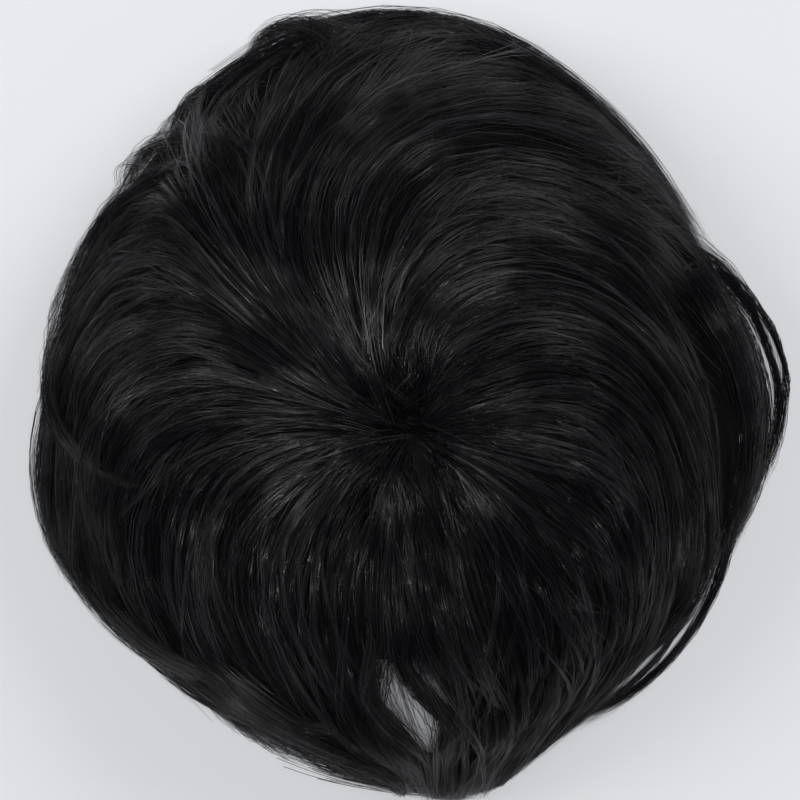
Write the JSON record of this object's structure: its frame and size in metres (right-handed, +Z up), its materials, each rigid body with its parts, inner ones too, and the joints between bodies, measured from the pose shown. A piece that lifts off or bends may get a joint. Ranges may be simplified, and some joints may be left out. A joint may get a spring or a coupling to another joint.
{
  "type": "hair topper",
  "caption": "Short black hair topper: straight hair swirling from a whorl over a domed net base with clips beneath, lying on its own hair and worn over the crown of the head.",
  "frame": {"origin": "on the surface the topper rests on, below the middle of its bounding box", "axes": "+Z up, +Y towards the longer front hair, +X to the right in the view from above with the front hair up"},
  "size_m": [0.2276, 0.2404, 0.0883],
  "materials": {
    "hair": "straight black hair with a soft sheen along the strands",
    "net": "fine black net, matt",
    "clip": "black enamel, satin"
  },
  "bodies": {
    "root": {"base_cap": "net", "hair_crown": "hair", "hair_perimeter": "hair", "clip_front": "clip", "clip_left": "clip", "clip_back": "clip", "clip_right": "clip"}
  },
  "joints": []
}
